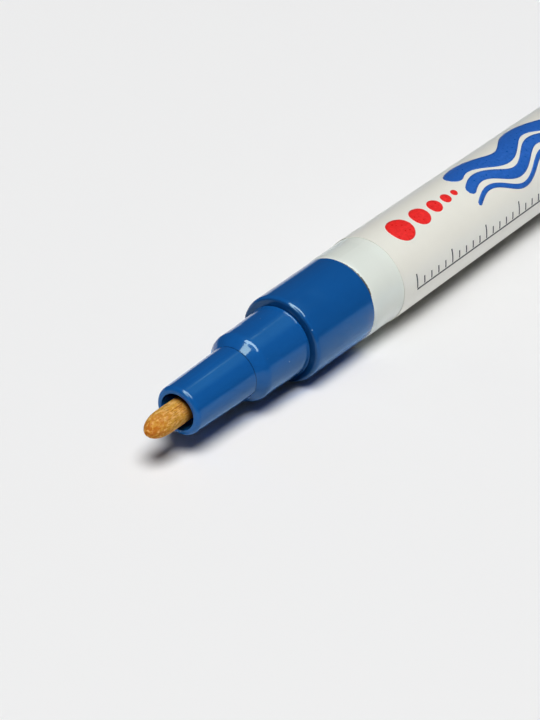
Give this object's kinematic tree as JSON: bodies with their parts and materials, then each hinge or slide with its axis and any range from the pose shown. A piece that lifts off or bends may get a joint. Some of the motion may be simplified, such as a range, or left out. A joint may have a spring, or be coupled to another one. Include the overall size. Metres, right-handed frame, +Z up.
{
  "type": "paint marker",
  "caption": "Valve-action paint marker with a bullet nib, moulded nose and collar, round metal barrel with a label film, and a cap posted on its tail.",
  "frame": {"origin": "on the surface that the marker lies on, under the middle of its overall length", "axes": "+X along the marker from the nib to the capped tail, +Z up"},
  "size_m": [0.1616, 0.015, 0.015],
  "materials": {
    "nib_fibre": "bonded fibre, stained",
    "blue_plastic": "glossy moulded",
    "natural_plastic": "natural, satin",
    "spring_steel": "drawn wire",
    "white_lacquer": "white lacquer",
    "label_film": "printed film",
    "ball_steel": "polished"
  },
  "bodies": {
    "casing": {"nose": "blue_plastic", "collar": "blue_plastic", "valve_body": "natural_plastic", "valve_spring": "spring_steel", "spring_retainer": "natural_plastic", "barrel": "white_lacquer", "label_film": "label_film", "tail_plug": "blue_plastic"},
    "nib": {"nib": "nib_fibre"},
    "valve": {"valve_stem": "natural_plastic"},
    "ball": {"mixing_ball": "ball_steel"},
    "cap": {"cap_shell": "blue_plastic", "cap_liner": "natural_plastic"}
  },
  "joints": [
    {"name": "nib_press", "type": "slide", "parent": "casing", "child": "nib", "axis": [1, 0, 0], "range_m": [0, 0.002], "stiffness_N_per_m": 400, "springref_m": -0.002},
    {"name": "valve_lift", "type": "slide", "parent": "casing", "child": "valve", "axis": [1, 0, 0], "range_m": [0, 0.002], "deforming": ["valve_spring"]},
    {"name": "ball_roll", "type": "slide", "parent": "casing", "child": "ball", "axis": [1, 0, 0], "range_m": [-0.0189, 0.032]},
    {"name": "cap_pull", "type": "slide", "parent": "casing", "child": "cap", "axis": [1, 0, 0], "range_m": [0, 0.02]}
  ],
  "couplings": [
    {"joint": "valve_lift", "follows": "nib_press", "ratio": 1}
  ]
}
